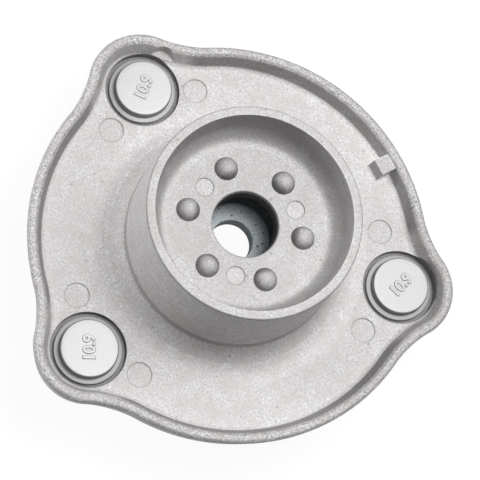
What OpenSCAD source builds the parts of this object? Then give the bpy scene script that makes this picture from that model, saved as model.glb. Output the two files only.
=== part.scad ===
// Strut mount: die-cast housing with a lobed flange and a bearing collar,
// three press-in studs, and a steel core held in a rubber bush.
// Millimetres. The tower face is z = 0, the bore runs along Z, and the
// collar points to +Z. The first stud lies on +X.

/* [Flange] */
// radius of the flange between the lobes
flange_r = 62.5; // [60:0.1:66]
// thickness of the flange from the tower face to its floor
flange_t = 5; // [4:0.1:7]
// distance of the studs in from the flange edge
stud_inset = 7.5; // [6.2:0.1:9]
// angle of the second stud from the first
stud_2_angle = 130; // [115:1:140]
// angle of the third stud from the first
stud_3_angle = 230; // [220:1:245]
// radius of the lobe at the first stud
lobe_1_r = 16.4; // [15.6:0.1:17.5]
// radius of the lobe at the second stud
lobe_2_r = 17.1; // [15.6:0.1:17.5]
// radius of the lobe at the third stud
lobe_3_r = 17.4; // [15.6:0.1:17.5]
// radius of the hollow between a lobe and the flange edge
lobe_blend_r = 37.5; // [12:0.5:42]

/* [Rim] */
// height of the rim above the flange floor
rim_h = 5.5; // [3.5:0.1:7]
// width of the rim at its foot
rim_foot_w = 5.4; // [4.8:0.1:6]
// distance from the outer edge to the inner edge of the crest
rim_crest_w = 3; // [2.2:0.05:3.4]
// outer wall draft from the crest down to the tower face
rim_draft = 1.8; // [0:0.1:2.4]
// rounding of the outer edge of the crest
rim_outer_round = 1.1; // [0.3:0.1:1.2]
// rounding of the inner edge of the crest
rim_inner_round = 0.6; // [0.2:0.1:0.7]
// fillet at the foot of the rim
rim_foot_fillet = 2; // [0.4:0.1:2.6]

/* [Collar] */
// outer radius of the collar at its rim
collar_r = 32.3; // [31.5:0.1:35]
// height of the collar rim above the tower face
collar_top = 41.4; // [38:0.1:48]
// wall between the outside and the cup at the rim
collar_rim_w = 2.7; // [2:0.1:3.4]
// growth in radius from the collar rim down to the flange
collar_draft = 1; // [0:0.1:2]
// fillet that flares the collar into the flange
flare_r = 8; // [5:0.5:10]

/* [Cup] */
// depth of the cup below the collar rim
cup_depth = 13; // [9:0.5:15]
// loss in radius from the cup rim to the cup floor
cup_draft = 1; // [0.5:0.1:2]
// fillet at the foot of the cup wall
cup_fillet = 6; // [1:0.1:7]
// thickness of the cup floor
cup_floor_t = 4.5; // [3:0.1:6]
// radius of the hole in the cup floor
cup_hole_r = 10.1; // [9.6:0.1:11]
// radius of the circle of domes
dome_circle_r = 17.7; // [16.5:0.1:19]
// radius of each dome at its foot
dome_r = 3.65; // [2.5:0.05:4]
// height of each dome
dome_h = 3.1; // [1.5:0.1:3.6]

/* [Bush] */
// radius of the chamber that holds the bush
chamber_r = 26.6; // [25:0.1:27.2]
// radius of the hole for the damper rod
rod_hole_r = 6.5; // [5:0.05:6.8]
// radius of the wide mouth of the core
core_mouth_r = 11.2; // [10.2:0.1:11.6]
// outer radius of the core
core_r = 13.2; // [12.8:0.1:14]
// radius of the disc on the core
core_disc_r = 19; // [17:0.1:20]
// height of the core's lower end above the tower face
core_low = 5.2; // [0.2:0.1:6]
// length of the rod hole
rod_hole_len = 4.8; // [4:0.1:6]
// travel of the core each way from rest
core_travel = 2.5; // [1:0.1:2.8]

/* [Cover] */
// thickness of the closing cover
cover_t = 2.5; // [1.5:0.1:3]
// radius of the hole in the closing cover
cover_hole_r = 16; // [14.6:0.1:18]
// height of the spigot below the tower face
spigot_h = 6.2; // [5.5:0.1:9]

/* [Studs] */
// outer radius of the stud thread
stud_r = 4; // [3:0.5:4.5]
// length of each stud below the tower face
stud_len = 26; // [20:1:36]
// radius of the raised disc of the stud head
head_disc_r = 8.87; // [7.5:0.01:9.2]
// height of the raised disc above the flange floor
head_rise = 2.3; // [1:0.1:3.5]
// radius of the base ring of the stud head
head_ring_r = 10.4; // [9.8:0.05:10.9]
// radius of the counterbore round the stud head
counterbore_r = 11.55; // [11.2:0.05:11.8]
// depth of the counterbore
counterbore_depth = 1.9; // [1:0.1:2.4]

/* [Casting marks] */
// depth of the ejector marks
mark_depth = 0.35; // [0.1:0.05:0.6]
// radius of the ejector marks beside the studs
mark_r = 3.75; // [2.5:0.05:4]
// radius of the ejector marks in the cup
cup_mark_r = 2.8; // [2:0.05:3]
// angle of the locating rib from the first stud
rib_angle = 40.3; // [32:0.1:60]
// width of the locating rib at its foot
rib_w = 5.2; // [4:0.1:8]

/* [Clearances] */
// gap round the knurl of each stud
stud_fit = 0.02; // [0.01:0.01:0.05]
// gap between the bush and the chamber wall
bush_fit = 0.05; // [0.02:0.01:0.1]
// gap between the core and the rubber round it
core_gap = 0.3; // [0.2:0.05:0.5]
// gap round the closing cover
cover_fit = 0.2; // [0.1:0.05:0.4]

/* [Hidden] */
$fn = 96;
floor_z = flange_t;
rim_z = floor_z + rim_h;
stud_circle_r = flange_r - stud_inset;
stud_angles = [0, stud_2_angle, stud_3_angle];
lobe_r = [lobe_1_r, lobe_2_r, lobe_3_r];
lobe_angles = stud_angles + [-1.3, 0.8, 0];
collar_in_r = collar_r - collar_rim_w;
collar_foot_r = collar_r + collar_draft;
cup_z = collar_top - cup_depth;
cup_foot_r = collar_in_r - cup_draft;
roof_z = cup_z - cup_floor_t;
hole_low_r = cup_hole_r - 0.5;
flare_end = collar_foot_r + flare_r + 2.6;
spigot_r = chamber_r + 6.4;
recess_r = chamber_r + 3;
cover_top = -1.5;
cover_low = cover_top - cover_t;
lip_r = recess_r - 1.4;
lip_low = min(-spigot_h, cover_low - 2);
core_top = roof_z - core_travel - 0.9;
core_step_z = core_low + rod_hole_len;
disc_low = core_step_z - 0.4;
disc_top = disc_low + 4.4;
knurl_r = stud_r + 1;
head_seat_z = floor_z - counterbore_depth;
mark_circle_r = [stud_circle_r - 6.1, stud_circle_r - 4.9, stud_circle_r - 5.3];
mark_swing = [19.3, 17.4, 17.7];
cup_mark_circle_r = dome_circle_r - 1.45;
rib_top_z = rim_z - 1;
rib_in_r = flange_r - rim_foot_w - 4.6;
rib_out_r = flange_r - 1.4;
flat_r = 4;
// the hollow blend's centre, seen from the bore axis
blend_far = flange_r + lobe_blend_r;
// how far the blend's side cuts past the arcs that it joins
blend_bite = 0.06;

function unit(v) = v / norm(v);

// Points of one rounded corner between its neighbours, or the corner itself.
function corner(a, b, c, r, n) =
    r <= 0 ? [b] :
    let (
        u = unit(a - b),
        v = unit(c - b),
        half = acos(u * v) / 2,
        m = b + unit(u + v) * r / sin(half),
        p = b + u * r / tan(half) - m,
        q = b + v * r / tan(half) - m,
        a0 = atan2(p[1], p[0]),
        turn = atan2(q[1], q[0]) - a0,
        d = turn > 180 ? turn - 360 : (turn < -180 ? turn + 360 : turn)
    )
    [for (i = [0:n]) m + r * [cos(a0 + d * i / n), sin(a0 + d * i / n)]];

// Closed outline from corners given as x, y, rounding and steps.
function rounded(pts) = [
    for (i = [0:len(pts) - 1])
        let (
            k = len(pts),
            a = pts[(i + k - 1) % k],
            b = pts[i],
            c = pts[(i + 1) % k]
        )
        each corner([a[0], a[1]], [b[0], b[1]], [c[0], c[1]], b[2], b[3])
];

// Side of the flange, as the distance in from its edge and the height.
edge_section = [
    [rim_draft + 0.6, 0],
    [rim_draft, 0.6],
    each corner([rim_draft, 0.6], [0, rim_z], [rim_crest_w, rim_z], rim_outer_round, 4)
];

// Inner wall of the rim, from the floor up to just over the crest.
dish_section = [
    each corner([rim_foot_w + 9, floor_z], [rim_foot_w, floor_z], [rim_crest_w, rim_z], rim_foot_fillet, 4),
    [rim_crest_w + rim_inner_round / 2, rim_z - rim_inner_round],
    [rim_crest_w - rim_inner_round * 0.7, rim_z - rim_inner_round / 10],
    [rim_crest_w - rim_inner_round * 1.5, rim_z + rim_inner_round / 5]
];

// Turned blank whose side lies at a radius less the section's distances.
module bulge(r, section) {
    rotate_extrude()
        polygon([
            [0, section[0][1]],
            for (p = section) [r - p[0], p[1]],
            [0, section[len(section) - 1][1]]
        ]);
}

// Angle at the bore axis between a lobe and its hollow blend's centre.
function blend_angle(r) =
    let (near = r + lobe_blend_r)
    acos((blend_far * blend_far + stud_circle_r * stud_circle_r - near * near) / (2 * blend_far * stud_circle_r));

// Wedge between a lobe and the flange, hollowed by the blend's own turned side.
module hollow_blend(section, i, side) {
    low = section[0];
    high = section[len(section) - 1];
    angle = lobe_angles[i];
    out = angle + side * blend_angle(lobe_r[i]);
    pos = blend_far * [cos(out), sin(out)];
    difference() {
        translate([0, 0, low[1]]) linear_extrude(height = high[1] - low[1])
            polygon([pos, pos * (flange_r - 16) / blend_far, stud_circle_r * [cos(angle), sin(angle)]]);
        translate([pos[0], pos[1], 0])
            rotate_extrude()
                polygon([
                    [0, low[1] - 1],
                    [lobe_blend_r + low[0] + blend_bite, low[1] - 1],
                    for (p = section) [lobe_blend_r + p[0] + blend_bite, p[1]],
                    [lobe_blend_r + high[0] + blend_bite, high[1] + 1],
                    [0, high[1] + 1]
                ]);
    }
}

// Three-lobed solid with the same side all round.
module lobed(section) {
    bulge(flange_r, section);
    for (i = [0:2]) {
        translate([stud_circle_r * cos(lobe_angles[i]), stud_circle_r * sin(lobe_angles[i]), 0])
            bulge(lobe_r[i], section);
        hollow_blend(section, i, 1);
        hollow_blend(section, i, -1);
    }
}

// Flange with its raised rim, open in the middle for the collar.
module dished_flange() {
    difference() {
        lobed(edge_section);
        lobed(dish_section);
        translate([0, 0, -1]) cylinder(r = flare_end - 1.5, h = flange_t + 2);
    }
}

// Collar, cup, chamber and spigot, turned about the bore.
module collar_body() {
    rotate_extrude()
        polygon(rounded([
            [lip_r, lip_low, 0.4, 1],
            [spigot_r - 0.2, lip_low, 1.2, 3],
            [spigot_r, 0, 0.6, 2],
            [flare_end, 0, 0, 1],
            [flare_end, floor_z, 0, 1],
            [collar_foot_r, floor_z, flare_r, 12],
            [collar_r, collar_top, 0.4, 2],
            [collar_in_r, collar_top, 0.35, 2],
            [cup_foot_r, cup_z, cup_fillet, 10],
            [cup_hole_r, cup_z, 0.6, 3],
            [hole_low_r, roof_z, 0.3, 1],
            [chamber_r, roof_z, 2, 3],
            [chamber_r, cover_top, 0, 1],
            [recess_r, cover_top, 0, 1],
            [recess_r, cover_low, 0, 1],
            [lip_r, cover_low, 0, 1]
        ]));
}

module dome() {
    rotate_extrude()
        intersection() {
            translate([0, dome_h - dome_r]) circle(r = dome_r);
            translate([0, -1]) square([dome_r, dome_r + dome_h]);
        }
}

// Block that stands inward from the rim and keys the part round.
module locating_rib() {
    rotate([90, 0, 0]) linear_extrude(height = rib_w, center = true)
        polygon([
            [rib_in_r, floor_z - 1],
            [rib_in_r, floor_z],
            [rib_in_r + 1.6, rib_top_z],
            [rib_out_r, rib_top_z],
            [rib_out_r, floor_z - 1]
        ]);
}

// Space over the flat that an ejector pin left in the rim's inner wall by the second stud.
module ejector_flat() {
    reach = lobe_2_r - rim_crest_w + 0.3 - flat_r;
    turn = stud_2_angle - 61;
    translate([
        stud_circle_r * cos(stud_2_angle) + reach * cos(turn),
        stud_circle_r * sin(stud_2_angle) + reach * sin(turn),
        floor_z + 1.1
    ])
        cylinder(r = flat_r, h = rim_h);
}

module domed_collar() {
    collar_body();
    for (k = [0:5]) {
        rotate(60 * k) translate([dome_circle_r, 0, cup_z]) dome();
    }
}

module housing_blank() {
    dished_flange();
    domed_collar();
    rotate(rib_angle) locating_rib();
}

module housing() {
    color([0.72, 0.72, 0.71])
    difference() {
        housing_blank();
        for (i = [0:2]) {
            rotate(stud_angles[i]) {
                translate([stud_circle_r, 0, head_seat_z]) cylinder(r = counterbore_r, h = rim_h);
                translate([stud_circle_r, 0, -1]) cylinder(r = knurl_r + stud_fit, h = flange_t);
            }
            for (side = [-1, 1]) {
                rotate(stud_angles[i] + side * mark_swing[i])
                    translate([mark_circle_r[i], 0, floor_z - mark_depth])
                        cylinder(r = mark_r, h = rim_h);
            }
        }
        ejector_flat();
        for (k = [0:2]) {
            rotate(30 + 120 * k) translate([cup_mark_circle_r, 0, cup_z - mark_depth])
                cylinder(r = cup_mark_r, h = cup_depth / 2);
        }
    }
}

// Press-in stud: raised disc, base ring, knurl and plain thread blank.
module stud(angle) {
    color([0.8, 0.81, 0.82])
    rotate(angle) translate([stud_circle_r, 0, 0])
        rotate_extrude()
            polygon([
                [0, -stud_len],
                [stud_r - 1, -stud_len],
                [stud_r, -stud_len + 1.2],
                [stud_r, -0.8],
                [knurl_r, 0.1],
                [knurl_r, head_seat_z],
                [head_ring_r, head_seat_z],
                [head_ring_r, floor_z - 0.9],
                [head_ring_r - 0.4, floor_z - 0.5],
                [head_disc_r, floor_z - 0.4],
                [head_disc_r, floor_z + head_rise - 0.5],
                [head_disc_r - 0.5, floor_z + head_rise],
                [0, floor_z + head_rise]
            ]);
}

module stud_1() { stud(stud_angles[0]); }

module stud_2() { stud(stud_angles[1]); }

module stud_3() { stud(stud_angles[2]); }

module core_sleeve() {
    color([0.55, 0.6, 0.64])
    rotate_extrude()
        polygon(rounded([
            [rod_hole_r, core_low, 0, 1],
            [core_r - 0.6, core_low, 0, 1],
            [core_r, core_low + 0.6, 0, 1],
            [core_r, disc_low, 0, 1],
            [core_disc_r, disc_low, 0.8, 2],
            [core_disc_r, disc_top, 0.8, 2],
            [core_r, disc_top, 0, 1],
            [core_r, core_top, 0.8, 2],
            [core_mouth_r, core_top, 0.6, 2],
            [core_mouth_r - 0.5, core_step_z, min(3.4, core_mouth_r - rod_hole_r - 1.2), 6],
            [rod_hole_r, core_step_z, 0.4, 2]
        ]));
}

module bush_rubber() {
    color([0.08, 0.08, 0.08])
    rotate_extrude()
        polygon(rounded([
            [chamber_r - bush_fit, cover_top, 0, 1],
            [chamber_r - bush_fit, roof_z - 2.4, 0, 1],
            [chamber_r - 2.4, roof_z, 0, 1],
            [chamber_r - 4.6, roof_z, 0.6, 2],
            [chamber_r - 6.4, core_top - 4, 1.5, 3],
            [core_r + core_gap, core_top - 2.4, 0.4, 1],
            [core_r + core_gap, disc_top, 0, 1],
            [core_disc_r + core_gap, disc_top, 0, 1],
            [core_disc_r + core_gap, disc_low, 0, 1],
            [core_r + core_gap, disc_low, 0, 1],
            [core_r + core_gap, core_low + 2, 0.4, 1],
            [chamber_r - 6.4, core_low + 3.2, 1.5, 3],
            [chamber_r - 4.6, cover_top, 0.6, 2]
        ]));
}

module closing_cover() {
    color([0.35, 0.36, 0.37])
    rotate_extrude()
        polygon(rounded([
            [cover_hole_r, cover_low, 0.8, 2],
            [recess_r - cover_fit, cover_low, 0.4, 1],
            [recess_r - cover_fit, cover_top, 0, 1],
            [cover_hole_r, cover_top, 0.8, 2]
        ]));
}

housing();
stud_1();
stud_2();
stud_3();
core_sleeve();
bush_rubber();
closing_cover();
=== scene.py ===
"""Strut mount: a cast housing on three studs, with a steel core held in a rubber bush.

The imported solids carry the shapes. This script gives them their finishes, draws the studs with
their threads and class numerals, the moulded bush and the pressed cover, and sets up the studio.
Fields hold millimetres and degrees, apart from the studio's floor, lamps and clipping in metres.
"""

import logging
import math
from dataclasses import dataclass, field
from enum import Enum
from typing import Iterable, Sequence

import bmesh
import bpy
from mathutils import Matrix, Vector
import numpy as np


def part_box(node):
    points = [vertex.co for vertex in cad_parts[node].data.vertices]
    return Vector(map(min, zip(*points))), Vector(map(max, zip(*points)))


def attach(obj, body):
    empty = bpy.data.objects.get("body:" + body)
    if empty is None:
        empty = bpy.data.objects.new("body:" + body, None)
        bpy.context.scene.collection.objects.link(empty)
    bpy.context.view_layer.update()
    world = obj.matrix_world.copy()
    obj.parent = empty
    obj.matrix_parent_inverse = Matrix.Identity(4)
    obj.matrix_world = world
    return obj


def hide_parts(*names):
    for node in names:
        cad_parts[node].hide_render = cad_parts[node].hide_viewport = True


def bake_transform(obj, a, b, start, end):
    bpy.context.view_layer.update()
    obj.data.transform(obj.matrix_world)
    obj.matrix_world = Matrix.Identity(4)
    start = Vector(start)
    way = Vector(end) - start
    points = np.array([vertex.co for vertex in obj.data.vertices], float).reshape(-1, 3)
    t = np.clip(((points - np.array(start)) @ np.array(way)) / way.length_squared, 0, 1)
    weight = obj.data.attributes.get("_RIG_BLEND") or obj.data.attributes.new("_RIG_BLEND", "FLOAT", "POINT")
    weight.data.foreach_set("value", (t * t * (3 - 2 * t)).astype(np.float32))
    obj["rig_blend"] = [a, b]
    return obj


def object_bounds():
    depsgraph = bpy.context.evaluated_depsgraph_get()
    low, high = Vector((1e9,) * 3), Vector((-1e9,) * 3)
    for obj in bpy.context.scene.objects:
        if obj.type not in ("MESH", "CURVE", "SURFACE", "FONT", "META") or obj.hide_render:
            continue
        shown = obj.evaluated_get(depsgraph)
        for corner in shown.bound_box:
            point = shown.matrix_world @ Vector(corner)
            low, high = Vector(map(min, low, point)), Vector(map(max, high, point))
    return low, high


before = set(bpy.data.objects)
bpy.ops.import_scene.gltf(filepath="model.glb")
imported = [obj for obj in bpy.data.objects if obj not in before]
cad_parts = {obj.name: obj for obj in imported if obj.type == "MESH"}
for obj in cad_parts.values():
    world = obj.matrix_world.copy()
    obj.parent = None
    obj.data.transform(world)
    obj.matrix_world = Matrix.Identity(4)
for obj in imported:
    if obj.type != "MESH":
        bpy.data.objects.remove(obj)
CAD_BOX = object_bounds()

log = logging.getLogger("strut_mount")
MM = 0.001
# In metres: points of a CAD mesh this near are one, edges this short vanish, and nothing lies so far off.
WELD = 1e-6
TINY = 1e-7
FAR_OFF = 1.0
WHITE = (1.0, 1.0, 1.0, 1.0)
# Middle of a noise texture's values, and the range that holds nearly all of them.
NOISE_MIDDLE = 0.5
NOISE_RANGE = (0.3, 0.7)
# How the grain is turned against the axes, and how much larger its clouds are than its grains.
GRAIN_TURN = (0.5, 0.8, 0.3)
CLOUD_RATIO = 7.0
# Least and most of the grain's contrast from cloud to cloud.
CLOUD_CONTRAST = (0.6, 1.4)
# Where a pit's soft edge lies, as shares of the pits' spacing.
PIT_EDGE = (0.08, 0.2)
Colour = tuple[float, float, float]
Circle = tuple[float, float, float]
Range = tuple[float, float]
Profile = Sequence[tuple[float, float]]
Groups = dict[str, bpy.types.NodeTree]


class Body(Enum):
    """Bodies of the frame that pieces ride on."""

    HOUSING = "housing"
    CORE = "core"


class Slot(Enum):
    """Material slots of the record."""

    CAST = "cast_aluminium"
    STUD = "stud_steel"
    CORE = "core_steel"
    RUBBER = "bush_rubber"
    COVER = "cover_steel"


class Graph:
    """A node tree while it is being filled in."""

    def __init__(self, tree: bpy.types.NodeTree) -> None:
        """Start from an empty tree.

        Args:
            tree: The tree to clear and fill.
        """
        self.tree = tree
        tree.nodes.clear()

    def node(self, kind: str, settings: dict | None = None, **inputs: object) -> bpy.types.Node:
        """Add one node.

        Args:
            kind: Blender's name of the node type.
            settings: Properties of the node itself.
            **inputs: Values for inputs, by name with _ for a space; a socket value is linked.

        Returns:
            The new node.
        """
        made = self.tree.nodes.new(kind)
        for key, value in (settings or {}).items():
            setattr(made, key, value)
        for key, value in inputs.items():
            self.feed(made.inputs[key.replace("_", " ")], value)
        return made

    def feed(self, socket: bpy.types.NodeSocket, value: object) -> None:
        """Link a socket to another one, or set its value.

        Args:
            socket: The input to feed.
            value: An output socket or a plain value.
        """
        if isinstance(value, bpy.types.NodeSocket):
            self.tree.links.new(value, socket)
        else:
            socket.default_value = value

    def math(self, operation: str, a: object, b: object = 0.0) -> bpy.types.NodeSocket:
        """Combine two values.

        Args:
            operation: Blender's name of the operation.
            a: First value or socket.
            b: Second value or socket.

        Returns:
            The result's socket.
        """
        made = self.node("ShaderNodeMath", {"operation": operation})
        self.feed(made.inputs[0], a)
        self.feed(made.inputs[1], b)
        return made.outputs[0]

    def remap(
        self, value: object, low: float, high: float, to_low: float, to_high: float
    ) -> bpy.types.NodeSocket:
        """Carry a value smoothly from one range to another.

        Args:
            value: The value to carry over.
            low: Start of its range.
            high: End of its range.
            to_low: Result at the start.
            to_high: Result at the end.

        Returns:
            The result's socket.
        """
        made = self.node("ShaderNodeMapRange", {"interpolation_type": "SMOOTHSTEP"})
        for socket, number in zip(made.inputs[:5], (value, low, high, to_low, to_high)):
            self.feed(socket, number)
        return made.outputs[0]

    def rise(self, value: object, low: float, high: float) -> bpy.types.NodeSocket:
        """Go from 0 to 1 as a value goes through a range."""
        return self.remap(value, low, high, 0.0, 1.0)

    def fall(self, value: object, low: float, high: float) -> bpy.types.NodeSocket:
        """Go from 1 to 0 as a value goes through a range."""
        return self.remap(value, low, high, 1.0, 0.0)

    def fade(self, mask: object, shade: float) -> bpy.types.NodeSocket:
        """Turn a mask into a shade, 1 where the mask is 0."""
        return self.remap(mask, 0.0, 1.0, 1.0, shade)

    def product(self, *values: object) -> object:
        """Multiply any number of values.

        Args:
            *values: Values or sockets, at least one.

        Returns:
            The product's socket, or the value itself where it is the only one.
        """
        total = values[0]
        for value in values[1:]:
            total = self.math("MULTIPLY", total, value)
        return total

    def shades(self, *layers: tuple[object, float]) -> object:
        """Multiply the shades of several masks.

        Args:
            *layers: Each mask with the shade that it gives where it is 1.

        Returns:
            Socket of the total shade.
        """
        return self.product(*(self.fade(mask, shade) for mask, shade in layers))

    def group(self, tree: bpy.types.NodeTree, **inputs: object) -> bpy.types.Node:
        """Place a shared group."""
        return self.node("ShaderNodeGroup", {"node_tree": tree}, **inputs)

    def height_mm(self, place: bpy.types.NodeSocket, level: float = 0.0) -> bpy.types.NodeSocket:
        """Give a place's height above a level, in millimetres."""
        height = self.node("ShaderNodeSeparateXYZ", Vector=place).outputs["Z"]
        return self.math("SUBTRACT", self.math("DIVIDE", height, MM), level)

    def tint(self, colour: object, shade: object) -> bpy.types.NodeSocket:
        """Multiply a colour by a shade.

        Args:
            colour: Colour or colour socket.
            shade: Value or socket, 1 for no change.

        Returns:
            The shaded colour's socket.
        """
        made = self.node("ShaderNodeVectorMath", {"operation": "SCALE"})
        self.feed(made.inputs[0], colour)
        self.feed(made.inputs["Scale"], shade)
        return made.outputs[0]


def start_graph(data: bpy.types.Material | bpy.types.World) -> Graph:
    """Start the node graph of a material or a world."""
    data.use_nodes = True
    return Graph(data.node_tree)


def shared_group(
    name: str, inputs: dict[str, tuple[str, float | None]], outputs: Iterable[str]
) -> tuple[bpy.types.NodeTree, Graph]:
    """Make an empty shader group with its sockets.

    Args:
        name: Name of the group.
        inputs: Socket names with their types and first values.
        outputs: Names of the value outputs.

    Returns:
        The group's tree, and the graph to fill it through.
    """
    tree = bpy.data.node_groups.new(name, "ShaderNodeTree")
    for label, (kind, value) in inputs.items():
        socket = tree.interface.new_socket(label, in_out="INPUT", socket_type=kind)
        if value is not None:
            socket.default_value = value
    for label in outputs:
        tree.interface.new_socket(label, in_out="OUTPUT", socket_type="NodeSocketFloat")
    return tree, Graph(tree)


def grain_group() -> bpy.types.NodeTree:
    """Build the fine grain that all the surfaces share.

    Returns:
        A group that turns a place into a shade about 1, and a height and a cloud about 0.5.
    """
    tree, graph = shared_group(
        "metal_grain",
        {"Vector": ("NodeSocketVector", None), "Size": ("NodeSocketFloat", 0.5),
         "Contrast": ("NodeSocketFloat", 0.1), "Mottle": ("NodeSocketFloat", 0.05)},
        ("Shade", "Height", "Cloud"),
    )
    given = graph.node("NodeGroupInput")
    scale = graph.math("DIVIDE", 1.0 / MM, given.outputs["Size"])
    askew = graph.node("ShaderNodeMapping", Vector=given.outputs["Vector"], Rotation=GRAIN_TURN).outputs[0]
    broad = graph.math("DIVIDE", scale, CLOUD_RATIO)
    fine = graph.node("ShaderNodeTexNoise", Vector=askew, Scale=scale, Detail=3.0, Roughness=0.62)
    cloud = graph.node("ShaderNodeTexNoise", Vector=askew, Scale=broad, Detail=4.0, Roughness=0.6)
    fine_wave, cloud_wave = (
        graph.math("SUBTRACT", noise.outputs["Fac"], NOISE_MIDDLE) for noise in (fine, cloud))
    uneven = graph.remap(cloud.outputs["Fac"], *NOISE_RANGE, *CLOUD_CONTRAST)
    speckle = graph.product(fine_wave, given.outputs["Contrast"], uneven)
    patches = graph.product(cloud_wave, given.outputs["Mottle"])
    shade = graph.math("ADD", graph.math("ADD", speckle, patches), 1.0)
    graph.node("NodeGroupOutput", Shade=shade, Height=fine.outputs["Fac"], Cloud=cloud.outputs["Fac"])
    return tree


def pit_group() -> bpy.types.NodeTree:
    """Build the small scattered pits of cast and galvanised metal.

    Returns:
        A group that turns a place into a mask, 1 inside a pit.
    """
    tree, graph = shared_group(
        "metal_pits",
        {"Vector": ("NodeSocketVector", None), "Spacing": ("NodeSocketFloat", 2.0),
         "Share": ("NodeSocketFloat", 0.2)},
        ("Mask",),
    )
    given = graph.node("NodeGroupInput")
    scale = graph.math("DIVIDE", 1.0 / MM, given.outputs["Spacing"])
    cells = graph.node("ShaderNodeTexVoronoi", Vector=given.outputs["Vector"], Scale=scale)
    pick = graph.node("ShaderNodeSeparateColor", Color=cells.outputs["Color"])
    kept = graph.math("LESS_THAN", pick.outputs[0], given.outputs["Share"])
    spot = graph.fall(cells.outputs["Distance"], *PIT_EDGE)
    graph.node("NodeGroupOutput", Mask=graph.math("MULTIPLY", spot, kept))
    return tree


def circle_group(name: str, circles: Iterable[Circle]) -> bpy.types.NodeTree:
    """Build the distance to the nearest of some circles about upright axes.

    Args:
        name: Name of the group.
        circles: Place of each circle's centre and its radius, in millimetres.

    Returns:
        A group that turns a place into its distance from the nearest circle, less than 0 inside it.
    """
    tree, graph = shared_group(name, {"Vector": ("NodeSocketVector", None)}, ("Distance",))
    axes = graph.node("ShaderNodeSeparateXYZ", Vector=graph.node("NodeGroupInput").outputs["Vector"])
    flat = graph.node("ShaderNodeCombineXYZ", X=axes.outputs["X"], Y=axes.outputs["Y"]).outputs[0]
    nearest: object = FAR_OFF
    for x, y, radius in circles:
        away = graph.node("ShaderNodeVectorMath", {"operation": "DISTANCE"})
        graph.feed(away.inputs[0], flat)
        graph.feed(away.inputs[1], (x * MM, y * MM, 0.0))
        outside = graph.math("SUBTRACT", away.outputs["Value"], radius * MM)
        nearest = graph.math("MINIMUM", nearest, outside)
    graph.node("NodeGroupOutput", Distance=nearest)
    return tree


@dataclass(frozen=True)
class Band:
    """A range of heights or distances in millimetres, and how far it fades beyond either end."""

    low: float
    high: float
    soft: float

    def mask(self, graph: Graph, value: object) -> bpy.types.NodeSocket:
        """Mask the places where a value lies in the band.

        Args:
            graph: The graph to add to.
            value: The value to look at.

        Returns:
            Socket that is 1 inside the band and 0 where the band has faded.
        """
        rise = graph.rise(value, self.low - self.soft, self.low)
        fall = graph.fall(value, self.high, self.high + self.soft)
        return graph.product(rise, fall)


@dataclass(frozen=True)
class MetalFinish:
    """A bare or plated metal surface with grain, mottling and pits."""

    name: str
    colour: Colour
    cool_colour: Colour
    metallic: float
    roughness: float
    specular: float = 0.4
    grain_mm: float = 0.5
    contrast: float = 0.2
    mottle: float = 0.1
    pit_spacing_mm: float = 2.4
    pit_share: float = 0.1
    pit_depth: float = 0.3
    relief_mm: float = 0.02
    roughness_swing: float = 0.06
    drift: Range = (0.35, 0.65)

    def material(self, groups: Groups) -> bpy.types.Material:
        """Build the finish as a material.

        Args:
            groups: Shared shader groups by name.

        Returns:
            The material.
        """
        made = bpy.data.materials.new(self.name)
        graph = start_graph(made)
        place = graph.node("ShaderNodeTexCoord").outputs["Object"]
        grain = graph.group(groups["grain"], Vector=place, Size=self.grain_mm, Mottle=self.mottle)
        graph.feed(grain.inputs["Contrast"], self.speckle(graph, place))
        pits = graph.group(groups["pits"], Vector=place, Spacing=self.pit_spacing_mm, Share=self.pit_share)
        pitted = graph.fade(pits.outputs["Mask"], 1.0 - self.pit_depth)
        # The shade takes in the painted shade and painted light of the finish's local features.
        shade = graph.product(grain.outputs["Shade"], pitted, self.painted_shade(graph, place, groups))
        height = grain.outputs["Height"]
        smooth, rough = self.roughness - self.roughness_swing, self.roughness + self.roughness_swing
        bump = graph.node("ShaderNodeBump", Strength=1.0, Distance=self.relief_mm * MM, Height=height)
        surface = graph.node(
            "ShaderNodeBsdfPrincipled",
            Base_Color=graph.tint(self.patchy_colour(graph, grain.outputs["Cloud"]), shade),
            Metallic=self.metallic,
            Roughness=graph.remap(height, *NOISE_RANGE, smooth, rough),
            Specular_IOR_Level=self.specular,
            Normal=bump.outputs["Normal"],
        )
        graph.node("ShaderNodeOutputMaterial", Surface=surface.outputs["BSDF"])
        return made

    def patchy_colour(self, graph: Graph, cloud: bpy.types.NodeSocket) -> bpy.types.NodeSocket:
        """Drift between the finish's two colours.

        Args:
            graph: The material's graph.
            cloud: Large soft noise about 0.5.

        Returns:
            The colour's socket.
        """
        drift = graph.node("ShaderNodeVectorMath", {"operation": "MULTIPLY_ADD"})
        graph.feed(drift.inputs[0], graph.rise(cloud, *self.drift))
        graph.feed(drift.inputs[1], tuple(b - a for a, b in zip(self.colour, self.cool_colour)))
        graph.feed(drift.inputs[2], self.colour)
        return drift.outputs[0]

    def speckle(self, graph: Graph, place: bpy.types.NodeSocket) -> object:
        """Give the grain's contrast at a place: here the same all over."""
        return self.contrast

    def painted_shade(self, graph: Graph, place: bpy.types.NodeSocket, groups: Groups) -> object:
        """Give the painted shade and painted light of local features at a place: here none."""
        return 1.0


@dataclass(frozen=True)
class Spot:
    """Sockets that tell where a point of the casting lies, in millimetres, and which way it faces.

    The last two are masks of the collar's side and the rim's side of the flange.
    """

    above_floor: bpy.types.NodeSocket
    above_crest: bpy.types.NodeSocket
    above_crease: bpy.types.NodeSocket
    above_cup: bpy.types.NodeSocket
    above_collar: bpy.types.NodeSocket
    reach: bpy.types.NodeSocket
    outward: bpy.types.NodeSocket
    from_mark: bpy.types.NodeSocket
    from_stud: bpy.types.NodeSocket
    near: bpy.types.NodeSocket
    far: bpy.types.NodeSocket


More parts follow.
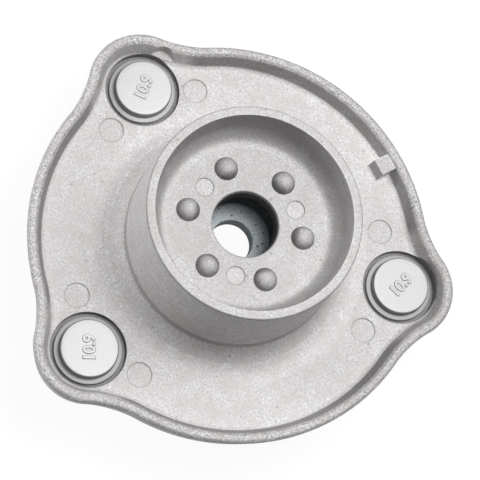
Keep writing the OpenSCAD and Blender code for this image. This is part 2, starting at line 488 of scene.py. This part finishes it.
@dataclass(frozen=True)
class CastPaintedShades:
    """Painted shade and painted light on the casting's local features, as factors on its colour, 1 for no
    change.
    """

    # Painted shade on the rim's and the cup's inner walls, the far outer wall, the counterbores and the
    # hole's lower wall; the crest a little darker.
    rim_wall: float = 0.43
    cup_wall: float = 0.6
    outer_wall: float = 0.83
    crest: float = 0.97
    counterbore: float = 0.45
    skin: float = 0.06
    # Painted light on the fillets' feet and the flare.
    rim_foot: float = 1.14
    flare_foot: float = 1.17
    flare: float = 1.13
    cup_foot: float = 1.08
    # Painted shade in the crease below the collar.
    crease: float = 0.68
    # Painted shade on the domes, darkest at their feet.
    dome_foot: float = 0.4
    dome_top: float = 0.97
    # Painted shade on the ejector marks' outlines; their insides lighter.
    mark_edge: float = 0.72
    mark_face: float = 1.11
    # Painted shade on the collar rim's outer edge, a painted highlight on its inner edge.
    collar_edge: float = 0.62
    cup_edge: float = 1.12


@dataclass(frozen=True)
class CastFinish(MetalFinish):
    """As-cast metal with a rough rim crest, and painted light and painted shade on its feet, walls, domes,
    marks and edges.
    """

    # Painted shade and painted light, as factors on the colour.
    painted_shades: CastPaintedShades = CastPaintedShades()
    crest_gain: float = 1.9
    # Levels: the flange floor, its rim's crest, the crease below the collar, the cup floor, the collar rim.
    floor_z: float = 5.0
    crest_z: float = 10.5
    crease_z: float = 12.9
    cup_z: float = 28.4
    collar_z: float = 41.4
    # Heights above the flange floor. The marks' band is also counted from the cup floor.
    mark_level: Band = Band(-0.5, 0.0, 0.05)
    counterbore: Band = Band(-4.0, 1.5, 0.5)
    rim_foot: Band = Band(0.1, 0.7, 0.3)
    flare_foot: Band = Band(0.06, 0.7, 0.5)
    flare: Band = Band(1.2, 5.7, 0.9)
    wall_foot: Range = (0.5, 1.5)
    # Heights above the crest.
    crest_grain: Band = Band(-0.4, 0.1, 0.6)
    crest: Band = Band(-0.5, 0.1, 0.5)
    wall_top: Range = (-1.8, 0.1)
    wall_top_share: float = 0.45
    # Heights above the crease.
    crease: Band = Band(-1.2, 0.4, 1.3)
    # Heights above the cup floor.
    cup_foot: Band = Band(0.08, 0.5, 0.06)
    dome_start: Range = (0.02, 0.1)
    dome_rise: Range = (0.9, 3.2)
    # Painted shade darkens the hole's wall below this range.
    hole_shade_top: Range = (-1.6, -1.2)
    # Heights above the collar rim.
    collar_edge: Band = Band(-0.8, -0.03, 0.03)
    cup_edge: Band = Band(-0.35, -0.01, 0.02)
    # Distances from the axis.
    hole: Range = (10.5, 10.9)
    domes: Range = (21.7, 22.0)
    cup_mouth: Range = (30.0, 30.2)
    collar_outside: Range = (31.7, 31.9)
    flange_middle: Range = (43.0, 45.0)
    # Distances from a stud's counterbore and from an ejector mark's outline, less than 0 inside.
    bore_wall: Band = Band(-2.0, 0.05, 0.1)
    stud_clear: Range = (4.0, 9.0)
    stud_clear_share: float = 0.4
    outline: Range = (0.1, 0.3)
    mark_inside: Range = (-0.3, -0.1)
    # How far a face looks away from the axis, from -1 to 1.
    facing_in: Range = (-0.75, -0.2)
    facing_out: Range = (0.05, 0.5)

    def speckle(self, graph: Graph, place: bpy.types.NodeSocket) -> object:
        """Raise the grain's contrast on the crest of the flange rim.

        Args:
            graph: The material's graph.
            place: Place on the surface.

        Returns:
            Socket of the contrast.
        """
        crest = self.crest_grain.mask(graph, graph.height_mm(place, self.crest_z))
        return graph.remap(crest, 0.0, 1.0, self.contrast, self.contrast * self.crest_gain)

    def painted_shade(self, graph: Graph, place: bpy.types.NodeSocket, groups: Groups) -> object:
        """Paint shade and light onto the casting's local features.

        Args:
            graph: The material's graph.
            place: Place on the surface.
            groups: Shared shader groups by name.

        Returns:
            Socket of the shade.
        """
        spot = self.locate(graph, place, groups)
        parts = (self.wall_shade, self.foot_shade, self.dome_shade, self.edge_shade)
        return graph.product(*(part(graph, spot) for part in parts))

    def locate(self, graph: Graph, place: bpy.types.NodeSocket, groups: Groups) -> Spot:
        """Find a point's heights, its distances from the axis, the marks and the studs, and its facing.

        Args:
            graph: The material's graph.
            place: Place on the surface.
            groups: Shared shader groups by name.

        Returns:
            The sockets of those values.
        """
        axes = graph.node("ShaderNodeSeparateXYZ", Vector=place)
        flat = graph.node("ShaderNodeCombineXYZ", X=axes.outputs["X"], Y=axes.outputs["Y"]).outputs[0]
        out = graph.node("ShaderNodeVectorMath", {"operation": "NORMALIZE"}, Vector=flat).outputs[0]
        facing = graph.node("ShaderNodeVectorMath", {"operation": "DOT_PRODUCT"})
        graph.feed(facing.inputs[0], graph.node("ShaderNodeNewGeometry").outputs["Normal"])
        graph.feed(facing.inputs[1], out)
        lengths = [
            graph.node("ShaderNodeVectorMath", {"operation": "LENGTH"}, Vector=flat).outputs["Value"],
            graph.group(groups["marks"], Vector=place).outputs["Distance"],
            graph.group(groups["studs"], Vector=place).outputs["Distance"],
        ]
        reach, from_mark, from_stud = (graph.math("DIVIDE", length, MM) for length in lengths)
        levels = (self.floor_z, self.crest_z, self.crease_z, self.cup_z, self.collar_z)
        heights = (graph.height_mm(place, level) for level in levels)
        near, far = graph.fall(reach, *self.flange_middle), graph.rise(reach, *self.flange_middle)
        return Spot(*heights, reach, facing.outputs["Value"], from_mark, from_stud, near, far)

    def wall_shade(self, graph: Graph, spot: Spot) -> object:
        """Paint shade onto the drafted walls, the counterbores and the lower wall of the hole, and darken
        the rim's crest a little.

        Args:
            graph: The material's graph.
            spot: Where the point lies.

        Returns:
            Socket of the shade.
        """
        off_floor = graph.rise(spot.above_floor, *self.wall_foot)
        off_studs = graph.remap(spot.from_stud, *self.stud_clear, self.stud_clear_share, 1.0)
        inner = graph.product(graph.fall(spot.outward, *self.facing_in), off_studs, off_floor)
        below_crest = graph.remap(spot.above_crest, *self.wall_top, 1.0, self.wall_top_share)
        outer = graph.product(graph.rise(spot.outward, *self.facing_out), spot.far)
        counterbore = graph.product(
            self.bore_wall.mask(graph, spot.from_stud), self.counterbore.mask(graph, spot.above_floor))
        # Painted shade, nearly black, on the hole's wall below the cup floor.
        skin = graph.product(graph.fall(spot.reach, *self.hole), graph.fall(spot.above_cup, *self.hole_shade_top))
        return graph.shades(
            (graph.product(inner, spot.far, below_crest), self.painted_shades.rim_wall),
            (graph.product(inner, spot.near), self.painted_shades.cup_wall),
            (outer, self.painted_shades.outer_wall),
            (self.crest.mask(graph, spot.above_crest), self.painted_shades.crest),
            (counterbore, self.painted_shades.counterbore),
            (skin, self.painted_shades.skin),
        )

    def foot_shade(self, graph: Graph, spot: Spot) -> object:
        """Paint light onto the fillets' feet and the flare, and paint shade into the crease where the collar
        leaves it.

        Args:
            graph: The material's graph.
            spot: Where the point lies.

        Returns:
            Socket of the shade.
        """
        off_domes = graph.rise(spot.reach, *self.domes)
        rim_foot = self.rim_foot.mask(graph, spot.above_floor)
        flare_foot = self.flare_foot.mask(graph, spot.above_floor)
        flare = self.flare.mask(graph, spot.above_floor)
        cup_foot = self.cup_foot.mask(graph, spot.above_cup)
        crease = self.crease.mask(graph, spot.above_crease)
        return graph.shades(
            (graph.product(spot.far, rim_foot), self.painted_shades.rim_foot),
            (graph.product(spot.near, flare_foot), self.painted_shades.flare_foot),
            (graph.product(spot.near, flare), self.painted_shades.flare),
            (graph.product(off_domes, cup_foot), self.painted_shades.cup_foot),
            (graph.product(spot.near, crease), self.painted_shades.crease),
        )

    def dome_shade(self, graph: Graph, spot: Spot) -> object:
        """Paint shade onto the domes, darker towards their feet.

        Args:
            graph: The material's graph.
            spot: Where the point lies.

        Returns:
            Socket of the shade.
        """
        inside = graph.fall(spot.reach, *self.domes)
        dome = graph.product(inside, graph.rise(spot.above_cup, *self.dome_start))
        shade = graph.remap(spot.above_cup, *self.dome_rise, self.painted_shades.dome_foot, self.painted_shades.dome_top)
        return graph.math("ADD", graph.math("SUBTRACT", 1.0, dome), graph.product(dome, shade))

    def edge_shade(self, graph: Graph, spot: Spot) -> object:
        """Paint a shaded outline round the ejector marks and lighten their insides, and paint shade on the
        collar rim's outer edge and a highlight on its inner edge.

        Args:
            graph: The material's graph.
            spot: Where the point lies.

        Returns:
            Socket of the shade.
        """
        heights = (spot.above_floor, spot.above_cup)
        level = graph.math("ADD", *(self.mark_level.mask(graph, height) for height in heights))
        outline = graph.fall(graph.math("ABSOLUTE", spot.from_mark), *self.outline)
        face = graph.fall(spot.from_mark, *self.mark_inside)
        collar_edge = self.collar_edge.mask(graph, spot.above_collar)
        at_collar = graph.rise(spot.reach, *self.collar_outside)
        cup_edge = self.cup_edge.mask(graph, spot.above_collar)
        at_cup = graph.fall(spot.reach, *self.cup_mouth)
        return graph.shades(
            (graph.product(outline, level), self.painted_shades.mark_edge),
            (graph.product(face, level), self.painted_shades.mark_face),
            (graph.product(collar_edge, at_collar), self.painted_shades.collar_edge),
            (graph.product(cup_edge, at_cup), self.painted_shades.cup_edge),
        )


@dataclass(frozen=True)
class StudFinish(MetalFinish):
    """Plated steel, with painted shade on the head's side and base ring and on the numerals' sides."""

    # Height of the head's top, and heights above it.
    head_z: float = 7.3
    ring: Band = Band(-4.2, -2.66, 0.04)
    side: Band = Band(-2.6, -0.08, 0.04)
    numeral_side: Band = Band(0.01, 0.26, 0.01)
    # Painted shade on the base ring, the head's side and the numerals' sides.
    ring_shade: float = 0.7
    side_shade: float = 0.42
    numeral_shade: float = 0.36

    def painted_shade(self, graph: Graph, place: bpy.types.NodeSocket, groups: Groups) -> object:
        """Paint shade onto the head's side and base ring, and onto the sides of the raised numerals.

        Args:
            graph: The material's graph.
            place: Place on the surface.
            groups: Shared shader groups by name; not used.

        Returns:
            Socket of the shade.
        """
        height = graph.height_mm(place, self.head_z)
        return graph.shades(
            (self.side.mask(graph, height), self.side_shade),
            (self.numeral_side.mask(graph, height), self.numeral_shade),
            (self.ring.mask(graph, height), self.ring_shade),
        )


@dataclass(frozen=True)
class CoreFinish(MetalFinish):
    """Galvanised steel with painted shade on the upper part of its wall."""

    # Heights between which the painted shade sets in.
    mouth_shade_start: Range = (11.3, 14.2)
    mouth_shade: float = 0.1

    def painted_shade(self, graph: Graph, place: bpy.types.NodeSocket, groups: Groups) -> object:
        """Paint shade onto the wall, darker towards its mouth.

        Args:
            graph: The material's graph.
            place: Place on the surface.
            groups: Shared shader groups by name; not used.

        Returns:
            Socket of the shade.
        """
        return graph.remap(graph.height_mm(place), *self.mouth_shade_start, 1.0, self.mouth_shade)


@dataclass(frozen=True)
class RubberFinish:
    """Moulded rubber: near black, with a faint bloom."""

    name: str
    colour: Colour
    roughness: float
    roughness_swing: float = 0.1
    grain_mm: float = 0.35
    contrast: float = 0.5
    mottle: float = 1.2
    relief_mm: float = 0.02
    relief_strength: float = 0.6
    bloom: Range = (0.7, 1.3)

    def material(self, groups: Groups) -> bpy.types.Material:
        """Build the finish as a material.

        Args:
            groups: Shared shader groups by name.

        Returns:
            The material.
        """
        made = bpy.data.materials.new(self.name)
        graph = start_graph(made)
        place = graph.node("ShaderNodeTexCoord").outputs["Object"]
        grain = graph.group(
            groups["grain"], Vector=place, Size=self.grain_mm, Contrast=self.contrast, Mottle=self.mottle)
        bump = graph.node(
            "ShaderNodeBump", Strength=self.relief_strength, Distance=self.relief_mm * MM,
            Height=grain.outputs["Height"])
        smooth, rough = self.roughness - self.roughness_swing, self.roughness + self.roughness_swing
        surface = graph.node(
            "ShaderNodeBsdfPrincipled",
            Base_Color=graph.tint(self.colour, grain.outputs["Shade"]),
            Roughness=graph.remap(grain.outputs["Shade"], *self.bloom, smooth, rough),
            Normal=bump.outputs["Normal"],
        )
        graph.node("ShaderNodeOutputMaterial", Surface=surface.outputs["BSDF"])
        return made


def turned(profile: Profile, steps: int) -> bmesh.types.BMesh:
    """Turn a profile about the Z axis.

    Args:
        profile: Radius and height of each point, in millimetres, from end to end.
        steps: Number of steps in the full turn.

    Returns:
        A bmesh of the turned surface, in metres.
    """
    mesh = bmesh.new()
    points = [mesh.verts.new((r * MM, 0.0, z * MM)) for r, z in profile]
    edges = [mesh.edges.new(pair) for pair in zip(points, points[1:])]
    bmesh.ops.spin(
        mesh, geom=points + edges, cent=(0, 0, 0), axis=(0, 0, 1), angle=math.tau, steps=steps,
        use_merge=True)
    bmesh.ops.remove_doubles(mesh, verts=mesh.verts, dist=TINY)
    bmesh.ops.recalc_face_normals(mesh, faces=mesh.faces)
    return mesh


def merged(node: str) -> bmesh.types.BMesh:
    """Copy a CAD node's mesh with its triangles joined up.

    Args:
        node: Name of the node.

    Returns:
        A bmesh of the copy.
    """
    mesh = bmesh.new()
    mesh.from_mesh(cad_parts[node].data)
    bmesh.ops.remove_doubles(mesh, verts=mesh.verts, dist=WELD)
    bmesh.ops.dissolve_degenerate(mesh, edges=mesh.edges, dist=TINY)
    return mesh


def linked(name: str, data: bpy.types.ID) -> bpy.types.Object:
    """Make an object and link it into the scene.

    Args:
        name: Name of the object.
        data: Its mesh, curve, lamp or camera.

    Returns:
        The object.
    """
    made = bpy.data.objects.new(name, data)
    bpy.context.scene.collection.objects.link(made)
    return made


def add_piece(
    name: str, mesh: bmesh.types.BMesh, material: bpy.types.Material, smooth_deg: float = 35.0
) -> bpy.types.Object:
    """Make an object from a bmesh, shaded smooth up to an angle.

    Args:
        name: Name of the piece.
        mesh: Its bmesh, which is freed.
        material: Its finish.
        smooth_deg: Edges sharper than this stay sharp.

    Returns:
        The object, at the origin.
    """
    for edge in mesh.edges:
        edge.smooth = edge.calc_face_angle(0.0) < math.radians(smooth_deg)
    for face in mesh.faces:
        face.smooth = True
    data = bpy.data.meshes.new(name)
    mesh.to_mesh(data)
    mesh.free()
    data.materials.append(material)
    return linked(name, data)


def soften(piece: bpy.types.Object) -> None:
    """Let the large faces of a piece lead its shading, so that fillets run into them smoothly.

    Args:
        piece: The piece to shade.
    """
    weighted = piece.modifiers.new("fillet_shading", "WEIGHTED_NORMAL")
    weighted.mode = "FACE_AREA"
    weighted.weight = 50
    weighted.keep_sharp = True


def around(circle: float, angle: float, radius: float) -> Circle:
    """Place a circle's centre at an angle in degrees on a larger circle about the axis."""
    turn = math.radians(angle)
    return circle * math.cos(turn), circle * math.sin(turn), radius


def stand_in(piece: bpy.types.Object, node: str, body: Body) -> None:
    """Let a piece stand for a CAD node.

    Args:
        piece: The piece, in place.
        node: Name of the node that it replaces.
        body: Body that it rides on.
    """
    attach(piece, body.value)
    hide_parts(node)
    log.info("built %s in place of %s", piece.name, node)


@dataclass
class Housing:
    """The cast housing: flange, rim, collar and cup in one piece."""

    finish: MetalFinish = field(default_factory=lambda: CastFinish(
        "cast_aluminium", (0.667, 0.642, 0.636), (0.644, 0.633, 0.636), metallic=0.1, roughness=0.62,
        specular=0.25, grain_mm=0.6, contrast=1.2, mottle=0.42, pit_spacing_mm=3.0, pit_share=0.2,
        pit_depth=0.3, relief_mm=0.03))
    stud_angles: tuple[float, float, float] = (0.0, 130.0, 230.0)
    mark_circles: tuple[float, float, float] = (48.9, 50.1, 49.7)
    mark_swings: tuple[float, float, float] = (19.3, 17.4, 17.7)
    mark_r: float = 3.75
    cup_mark_angles: tuple[float, float, float] = (30.0, 150.0, 270.0)
    cup_mark_circle: float = 16.25
    cup_mark_r: float = 2.8
    stud_circle: float = 55.0
    counterbore_r: float = 11.55
    smooth_deg: float = 28.0

    def build(self, groups: Groups) -> None:
        """Build and dress the casting.

        Args:
            groups: Shared shader groups by name.
        """
        groups["marks"] = circle_group("ejector_marks", self.marks())
        groups["studs"] = circle_group("counterbores", self.counterbores())
        piece = add_piece("housing_cast", merged("housing"), self.finish.material(groups), self.smooth_deg)
        soften(piece)
        stand_in(piece, "housing", Body.HOUSING)

    def marks(self) -> list[Circle]:
        """Find the ejector marks beside the studs and in the cup.

        Returns:
            Place of each mark's centre and its radius, in millimetres.
        """
        beside_studs = [
            around(circle, angle + side, self.mark_r)
            for angle, circle, swing in zip(self.stud_angles, self.mark_circles, self.mark_swings)
            for side in (-swing, swing)
        ]
        in_cup = [around(self.cup_mark_circle, angle, self.cup_mark_r) for angle in self.cup_mark_angles]
        return beside_studs + in_cup

    def counterbores(self) -> list[Circle]:
        """Give the place of each counterbore's centre and its radius, in millimetres."""
        return [around(self.stud_circle, angle, self.counterbore_r) for angle in self.stud_angles]


@dataclass
class Studs:
    """The three press-in studs with rolled threads and class numerals on their heads."""

    pitch: float = 1.25
    thread_r: float = 4.0
    root_r: float = 3.35
    knurl_r: float = 5.0
    ring_r: float = 10.4
    disc_r: float = 8.87
    press_r: float = 6.6
    head_h: float = 4.2
    disc_h: float = 2.3
    # The thread starts this far above the stud's end, and stops at a height below the tower face.
    thread_start: float = 0.9
    thread_end: float = -1.6
    thread_steps: int = 24
    thread_sunk: float = 0.1
    ridge_share: float = 0.44
    crest_cut: float = 0.06
    crest_half: float = 0.1
    numeral_text: str = "10.9"
    numeral_size: float = 5.0
    numeral_rise: float = 0.08
    numeral_bevel: float = 0.2
    numeral_offset: float = 0.08
    numeral_spacing: float = 0.96
    numeral_angles: tuple[float, float, float] = (57.9, 80.5, 101.5)
    steps: int = 96
    finish: MetalFinish = field(default_factory=lambda: StudFinish(
        "stud_steel", (0.705, 0.7, 0.695), (0.685, 0.685, 0.685), metallic=0.15, roughness=0.52,
        grain_mm=0.5, contrast=0.25, mottle=0.15, pit_share=0.05, pit_depth=0.2, relief_mm=0.008))

    def build(self, groups: Groups) -> None:
        """Build and dress the studs and their numerals.

        Args:
            groups: Shared shader groups by name.
        """
        material = self.finish.material(groups)
        for number, angle in enumerate(self.numeral_angles, start=1):
            node = f"stud_{number}"
            low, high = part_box(node)
            centre = Vector(((low.x + high.x) / 2, (low.y + high.y) / 2, 0.0))
            stud = add_piece(f"{node}_threaded", self.stud_mesh(low.z / MM, high.z / MM, centre), material)
            soften(stud)
            stand_in(stud, node, Body.HOUSING)
            top = Vector((centre.x, centre.y, high.z))
            numerals = self.numerals(f"{node}_numerals", top, angle, material)
            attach(numerals, Body.HOUSING.value)
            log.info("built %s", numerals.name)

    def stud_mesh(self, low: float, high: float, centre: Vector) -> bmesh.types.BMesh:
        """Turn one stud and wind its thread.

        Args:
            low: Height of the stud's end, in millimetres.
            high: Height of the head's top, in millimetres.
            centre: Place of the stud's axis.

        Returns:
            The stud's bmesh in place.
        """
        seat = high - self.head_h
        floor = high - self.disc_h
        mesh = turned(
            [
                (0.0, low), (self.root_r - 0.7, low), (self.root_r, low + 0.7), (self.root_r, -1.5),
                (self.thread_r, -0.8), (self.knurl_r, 0.1), (self.knurl_r, seat), (self.ring_r, seat),
                (self.ring_r, floor - 1.0), (self.ring_r - 0.12, floor - 0.65),
                (self.ring_r - 0.4, floor - 0.5), (self.disc_r + 0.35, floor - 0.45),
                (self.disc_r + 0.12, floor - 0.3), (self.disc_r, floor + 0.1), (self.disc_r, high - 0.5),
                (self.disc_r - 0.16, high - 0.16), (self.disc_r - 0.5, high), (self.press_r + 0.15, high),
                (self.press_r, high - 0.04), (self.press_r - 0.15, high), (0.0, high),
            ],
            self.steps,
        )
        self.wind_thread(mesh, low + self.thread_start, self.thread_end)
        bmesh.ops.translate(mesh, verts=mesh.verts, vec=centre)
        return mesh

    def wind_thread(self, mesh: bmesh.types.BMesh, low: float, high: float) -> None:
        """Add the thread's ridge to a stud as a helix.

        Args:
            mesh: The stud's bmesh, about the origin.
            low: Where the thread starts, in millimetres.
            high: Where it ends.
        """
        turns = int((high - low) / self.pitch)
        half = self.pitch * self.ridge_share
        root, crest = self.root_r - self.thread_sunk, self.thread_r - self.crest_cut
        corners = (
            (root, low - half), (crest, low - self.crest_half), (crest, low + self.crest_half),
            (root, low + half))
        points = [mesh.verts.new((r * MM, 0.0, z * MM)) for r, z in corners]
        section = mesh.faces.new(points)
        bmesh.ops.spin(
            mesh, geom=[section], cent=(0, 0, 0), axis=(0, 0, 1), angle=math.tau * turns,
            dvec=(0, 0, self.pitch * MM / self.thread_steps), steps=self.thread_steps * turns)
        bmesh.ops.recalc_face_normals(mesh, faces=mesh.faces)

    def numerals(
        self, name: str, top: Vector, angle: float, material: bpy.types.Material
    ) -> bpy.types.Object:
        """Raise the strength class on a stud head.

        Args:
            name: Name of the piece.
            top: Centre of the head's top.
            angle: Direction that the numerals read in, in degrees.
            material: Their finish.

        Returns:
            The numerals as a mesh in place.
        """
        curve = bpy.data.curves.new(name, "FONT")
        curve.body = self.numeral_text
        curve.size = self.numeral_size * MM
        curve.extrude = self.numeral_rise * MM
        curve.bevel_depth = self.numeral_bevel * MM
        curve.offset = self.numeral_offset * MM
        curve.space_character = self.numeral_spacing
        curve.bevel_resolution = 1
        curve.align_x = "CENTER"
        curve.align_y = "CENTER"
        text = linked(f"{name}_text", curve)
        data = bpy.data.meshes.new_from_object(text.evaluated_get(bpy.context.evaluated_depsgraph_get()))
        bpy.data.objects.remove(text)
        data.transform(Matrix.Translation(top) @ Matrix.Rotation(math.radians(angle), 4, "Z"))
        data.materials.clear()
        data.materials.append(material)
        data.name = name
        return linked(name, data)


@dataclass
class Core:
    """The galvanised steel core that the damper rod bolts through."""

    finish: MetalFinish = field(default_factory=lambda: CoreFinish(
        "core_steel", (0.70, 0.74, 0.77), (0.56, 0.61, 0.64), metallic=0.0, roughness=0.75, specular=0.08,
        grain_mm=0.5, contrast=1.4, mottle=0.6, pit_spacing_mm=2.2, pit_share=0.95, pit_depth=0.9,
        relief_mm=0.05))
    smooth_deg: float = 28.0

    def build(self, groups: Groups) -> None:
        """Build and dress the core.

        Args:
            groups: Shared shader groups by name.
        """
        material = self.finish.material(groups)
        piece = add_piece("core_sleeve_forged", merged("core_sleeve"), material, self.smooth_deg)
        soften(piece)
        stand_in(piece, "core_sleeve", Body.CORE)


@dataclass
class Bush:
    """The moulded rubber bush, which shears between the housing and the core."""

    outer_r: float = 26.5
    bonded_r: float = 24.0
    core_r: float = 14.5
    steps: int = 128
    smooth_deg: float = 40.0
    finish: RubberFinish = field(default_factory=lambda: RubberFinish(
        "bush_rubber", (0.028, 0.028, 0.029), roughness=0.65))

    def build(self, groups: Groups) -> None:
        """Build and dress the bush, and let it shear from its bonded wall to the core.

        Args:
            groups: Shared shader groups by name.
        """
        mesh = turned(self.profile(), self.steps)
        piece = add_piece("bush_rubber_moulded", mesh, self.finish.material(groups), self.smooth_deg)
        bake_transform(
            piece, Body.HOUSING.value, Body.CORE.value,
            (self.bonded_r * MM, 0.0, 0.0), (self.core_r * MM, 0.0, 0.0))
        for vertex, weight in zip(piece.data.vertices, piece.data.attributes["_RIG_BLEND"].data):
            inward = (self.bonded_r - vertex.co.xy.length / MM) / (self.bonded_r - self.core_r)
            share = min(max(inward, 0.0), 1.0)
            weight.value = share * share * (3.0 - 2.0 * share)
        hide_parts("bush_rubber")
        log.info("built %s in place of bush_rubber", piece.name)

    def profile(self) -> Profile:
        """Draw the bush's section, with rounded grooves above and below its web.

        Returns:
            Radius and height of each point, in millimetres, back to the first.
        """
        return [
            (self.outer_r, -1.4), (self.outer_r, 21.5), (25.9, 22.3), (24.2, 23.8), (22.6, 23.8),
            (22.05, 23.5), (21.9, 22.8), (21.2, 19.6), (20.7, 18.0), (19.9, 17.1), (18.7, 16.95),
            (16.4, 17.4), (14.6, 17.8), (13.7, 18.05), (13.5, 17.9), (13.5, 14.0), (19.3, 14.0),
            (19.3, 9.6), (13.5, 9.6), (13.5, 7.35), (13.7, 7.25), (15.2, 7.5), (17.4, 7.85),
            (18.9, 7.95), (19.9, 7.6), (20.6, 6.7), (21.0, 4.8), (21.5, 1.8), (21.95, -0.6),
            (22.15, -1.2), (22.6, -1.4), (self.outer_r, -1.4),
        ]


@dataclass
class Cover:
    """The pressed ring that closes the bush's chamber."""

    hole_r: float = 16.0
    outer_r: float = 29.4
    low: float = -4.0
    high: float = -1.5
    edge_r: float = 0.6
    edge_steps: int = 4
    steps: int = 128
    finish: MetalFinish = field(default_factory=lambda: MetalFinish(
        "cover_steel", (0.50, 0.50, 0.505), (0.47, 0.475, 0.485), metallic=0.4, roughness=0.42,
        grain_mm=0.5, contrast=0.3, mottle=0.35, pit_share=0.05, pit_depth=0.25, relief_mm=0.01))

    def build(self, groups: Groups) -> None:
        """Build and dress the cover.

        Args:
            groups: Shared shader groups by name.
        """
        mesh = turned(self.profile(), self.steps)
        piece = add_piece("closing_cover_pressed", mesh, self.finish.material(groups))
        stand_in(piece, "closing_cover", Body.HOUSING)

    def profile(self) -> Profile:
        """Draw the ring's section with its rounded edges.

        Returns:
            Radius and height of each point, in millimetres, back to the first.
        """
        turns = [math.pi / 2 * step / self.edge_steps for step in range(self.edge_steps + 1)]
        rounded = [(self.edge_r * (1.0 - math.cos(t)), self.edge_r * (1.0 - math.sin(t))) for t in turns]
        lower_hole = [(self.hole_r + a, self.low + b) for a, b in rounded]
        lower_edge = [(self.outer_r - a, self.low + b) for a, b in reversed(rounded)]
        top = [(self.outer_r, self.high), (self.hole_r, self.high)]
        return top[1:] + lower_hole + lower_edge + top


@dataclass(frozen=True)
class SoftBox:
    """A square lamp that points at the object."""

    name: str
    azimuth_deg: float
    elevation_deg: float
    distance: float
    size: float
    power: float

    def build(self, target: Vector) -> None:
        """Hang the lamp.

        Args:
            target: Where it points.
        """
        data = bpy.data.lights.new(self.name, "AREA")
        data.shape = "SQUARE"
        data.size = self.size
        data.energy = self.power
        lamp = linked(self.name, data)
        azimuth, elevation = math.radians(self.azimuth_deg), math.radians(self.elevation_deg)
        level = math.cos(elevation)
        away = Vector((math.cos(azimuth) * level, math.sin(azimuth) * level, math.sin(elevation)))
        turn = away.to_track_quat("Z", "Y").to_matrix().to_4x4()
        lamp.matrix_world = Matrix.Translation(target + away * self.distance) @ turn


@dataclass
class Studio:
    """A pale floor, soft lamps and the camera of the photograph."""

    camera_at: Vector = field(default_factory=lambda: Vector((-112.145, -217.318, 665.306)) * MM)
    camera_along: Vector = field(default_factory=lambda: Vector((0.16368, 0.31163, -0.936)))
    camera_up: Vector = field(default_factory=lambda: Vector((-0.23669, 0.93349, 0.26941)))
    lens_mm: float = 173.26
    sensor_mm: float = 36.0
    clip_start: float = 0.01
    floor_size: float = 3.0
    floor_shade: float = 0.9
    white: float = 0.94
    shadow_catch: float = 0.1
    aim_z: float = 20.0
    lamps: tuple[SoftBox, ...] = (
        SoftBox("overhead_box", azimuth_deg=38.0, elevation_deg=82.0, distance=0.55, size=0.22, power=2.08),
        SoftBox("back_box", azimuth_deg=40.0, elevation_deg=62.0, distance=1.0, size=0.45, power=1.2),
        SoftBox("left_box", azimuth_deg=170.0, elevation_deg=12.0, distance=1.0, size=0.35, power=4.6),
    )

    def build(self) -> None:
        """Set up the floor, the world, the lamps and the camera."""
        bpy.context.scene.view_settings.view_transform = "Standard"
        self.lay_floor()
        self.light_world()
        for lamp in self.lamps:
            lamp.build(Vector((0.0, 0.0, self.aim_z * MM)))
        self.place_camera()

    def seen_directly(self, graph: Graph) -> bpy.types.NodeSocket:
        """Tell rays that show the background from rays that light the object.

        Args:
            graph: The graph to add to.

        Returns:
            Socket that is 1 for camera, glossy and transmission rays.
        """
        path = graph.node("ShaderNodeLightPath")
        shiny = graph.math("MAXIMUM", path.outputs["Is Glossy Ray"], path.outputs["Is Transmission Ray"])
        return graph.math("MAXIMUM", path.outputs["Is Camera Ray"], shiny)

    def lay_floor(self) -> None:
        """Lay the floor under the studs' ends."""
        mesh = bmesh.new()
        bmesh.ops.create_grid(mesh, x_segments=1, y_segments=1, size=self.floor_size)
        bmesh.ops.translate(mesh, verts=mesh.verts, vec=(0, 0, CAD_BOX[0][2]))
        material = bpy.data.materials.new("floor_white")
        graph = start_graph(material)
        matt = graph.node("ShaderNodeBsdfDiffuse", Color=(self.floor_shade,) * 3 + (1.0,))
        faint = graph.node("ShaderNodeBsdfDiffuse", Color=(self.shadow_catch,) * 3 + (1.0,))
        glow = graph.node("ShaderNodeEmission", Color=WHITE, Strength=self.white)
        shown = graph.node("ShaderNodeAddShader")
        graph.feed(shown.inputs[0], faint.outputs[0])
        graph.feed(shown.inputs[1], glow.outputs[0])
        mix = graph.node("ShaderNodeMixShader", Fac=self.seen_directly(graph))
        graph.feed(mix.inputs[1], matt.outputs[0])
        graph.feed(mix.inputs[2], shown.outputs[0])
        graph.node("ShaderNodeOutputMaterial", Surface=mix.outputs[0])
        floor = add_piece("floor", mesh, material)

    def light_world(self) -> None:
        """Show the room white behind the object and in its shine, with no other light from it."""
        world = bpy.data.worlds.new("room")
        bpy.context.scene.world = world
        graph = start_graph(world)
        back = graph.node("ShaderNodeBackground", Color=WHITE, Strength=self.seen_directly(graph))
        graph.node("ShaderNodeOutputWorld", Surface=back.outputs[0])

    def place_camera(self) -> None:
        """Put the camera where the photograph was taken from."""
        data = bpy.data.cameras.new("camera")
        data.lens = self.lens_mm
        data.sensor_width = self.sensor_mm
        data.clip_start = self.clip_start
        away = -self.camera_along.normalized()
        right = self.camera_up.cross(away).normalized()
        turn = Matrix((right, away.cross(right), away)).transposed()
        camera = linked("camera", data)
        camera.matrix_world = Matrix.Translation(self.camera_at) @ turn.to_4x4()
        bpy.context.scene.camera = camera


def main() -> None:
    logging.basicConfig(level=logging.INFO, format="%(name)s: %(message)s")
    groups: Groups = {"grain": grain_group(), "pits": pit_group()}
    for part in (Housing(), Studs(), Core(), Bush(), Cover()):
        part.build(groups)
    Studio().build()


if __name__ == "__main__":
    main()
